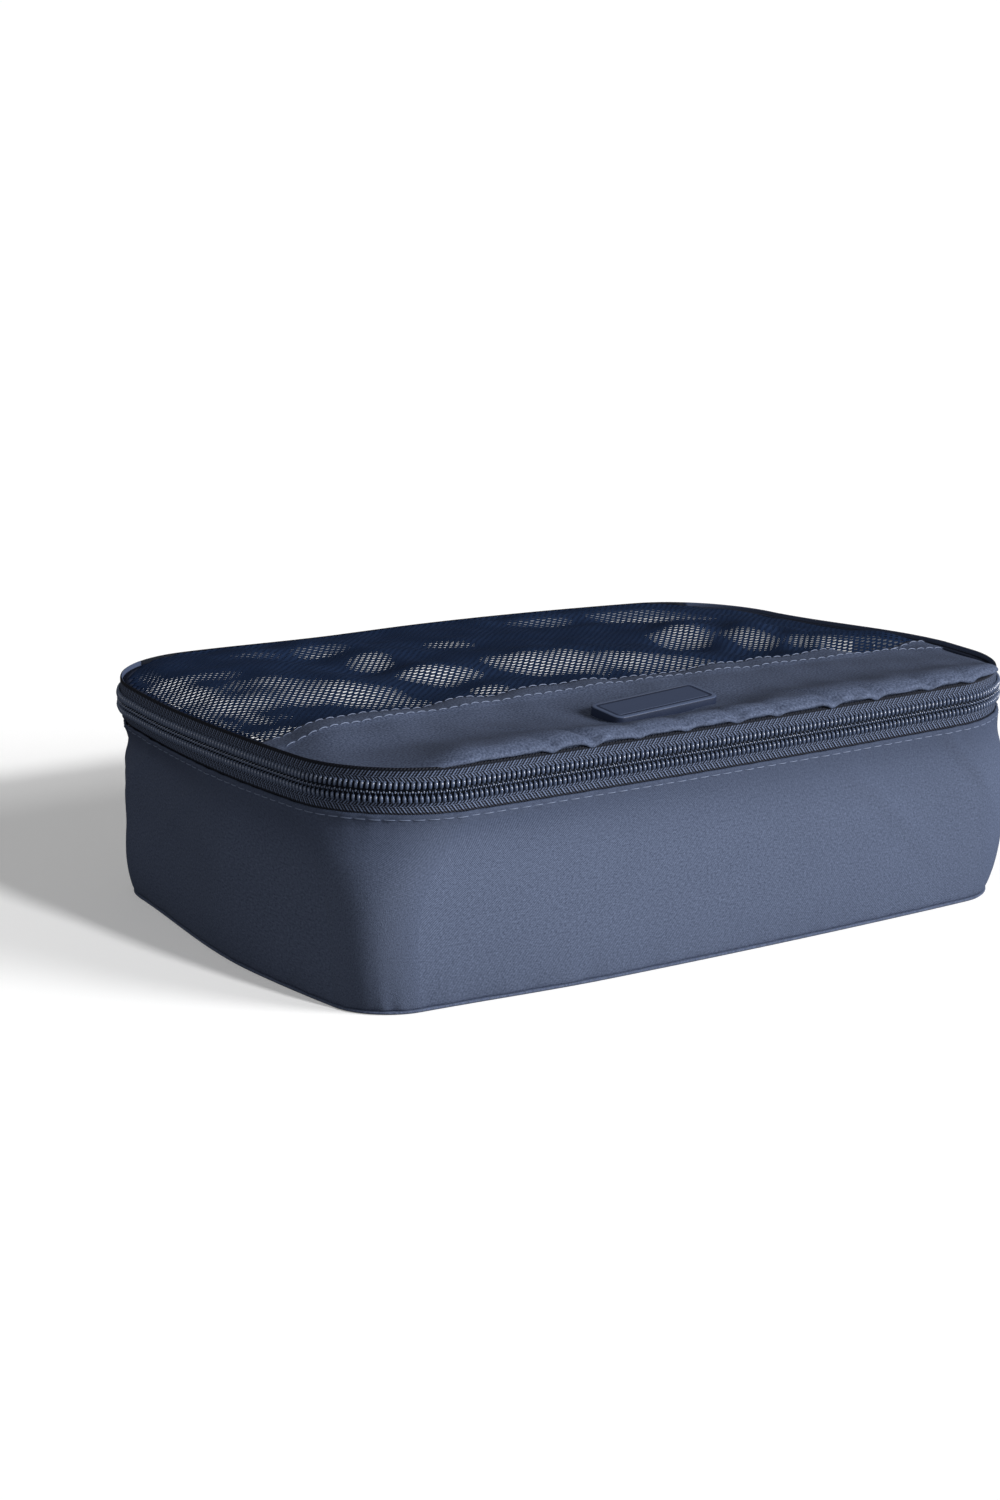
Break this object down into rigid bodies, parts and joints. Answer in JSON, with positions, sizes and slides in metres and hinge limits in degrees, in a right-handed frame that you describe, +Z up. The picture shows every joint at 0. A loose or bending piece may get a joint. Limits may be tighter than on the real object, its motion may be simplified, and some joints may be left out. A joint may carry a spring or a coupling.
{
  "type": "packing cube",
  "caption": "Soft rectangular packing cube with rounded corners, a net lid with a plain cloth front band, a coil zip round the front and sides, and a cloth hinge at the back.",
  "frame": {"origin": "middle of the base panel's underside, on the surface the cube stands on", "axes": "+X along the length, -Y towards the front with the plain cloth band, +Z up"},
  "size_m": [0.271, 0.1784, 0.0759],
  "materials": {
    "cloth": "fine twill with a soft sheen",
    "binding": "woven tape",
    "zip_tape": "herringbone woven tape",
    "zip_coil": "semi-gloss nylon coil",
    "net": "knitted net",
    "badge": "moulded, satin",
    "slider": "satin coated",
    "pull": "moulded, satin"
  },
  "bodies": {
    "tub": {"base_panel": "cloth", "gusset": "cloth", "back_panel": "cloth", "base_binding": "binding", "lower_zip_tape": "zip_tape", "lower_zip_coil": "zip_coil", "lower_zip_stops": "zip_coil", "back_strip": "cloth", "hinge_fold": "cloth"},
    "lid": {"lid_front_panel": "cloth", "lid_mesh_panel": "net", "lid_back_strip": "cloth", "lid_binding": "binding", "upper_zip_tape": "zip_tape", "upper_zip_coil": "zip_coil", "upper_zip_stops": "zip_coil", "badge": "badge"},
    "slider_front": {"slider_front_body": "slider"},
    "slider_rear": {"slider_rear_body": "slider"},
    "pull_front": {"slider_front_pull": "pull"},
    "pull_rear": {"slider_rear_pull": "pull"}
  },
  "joints": [
    {"name": "lid_hinge", "type": "hinge", "parent": "tub", "child": "lid", "pos_m": [0, 0.088, 0.0645], "axis": [-1, 0, 0], "range_deg": [0, 180]},
    {"name": "slider_front_slide", "type": "slide", "parent": "tub", "child": "slider_front", "axis": [0, -1, 0], "range_m": [0, 0.016]},
    {"name": "slider_rear_slide", "type": "slide", "parent": "tub", "child": "slider_rear", "axis": [0, 1, 0], "range_m": [0, 0.016]},
    {"name": "pull_front_swing", "type": "hinge", "parent": "slider_front", "child": "pull_front", "pos_m": [0.13605, -0.006, 0.0645], "axis": [0, 0, 1], "range_deg": [0, 100]},
    {"name": "pull_rear_swing", "type": "hinge", "parent": "slider_rear", "child": "pull_rear", "pos_m": [0.13605, 0.006, 0.0645], "axis": [0, 0, -1], "range_deg": [0, 100]}
  ]
}
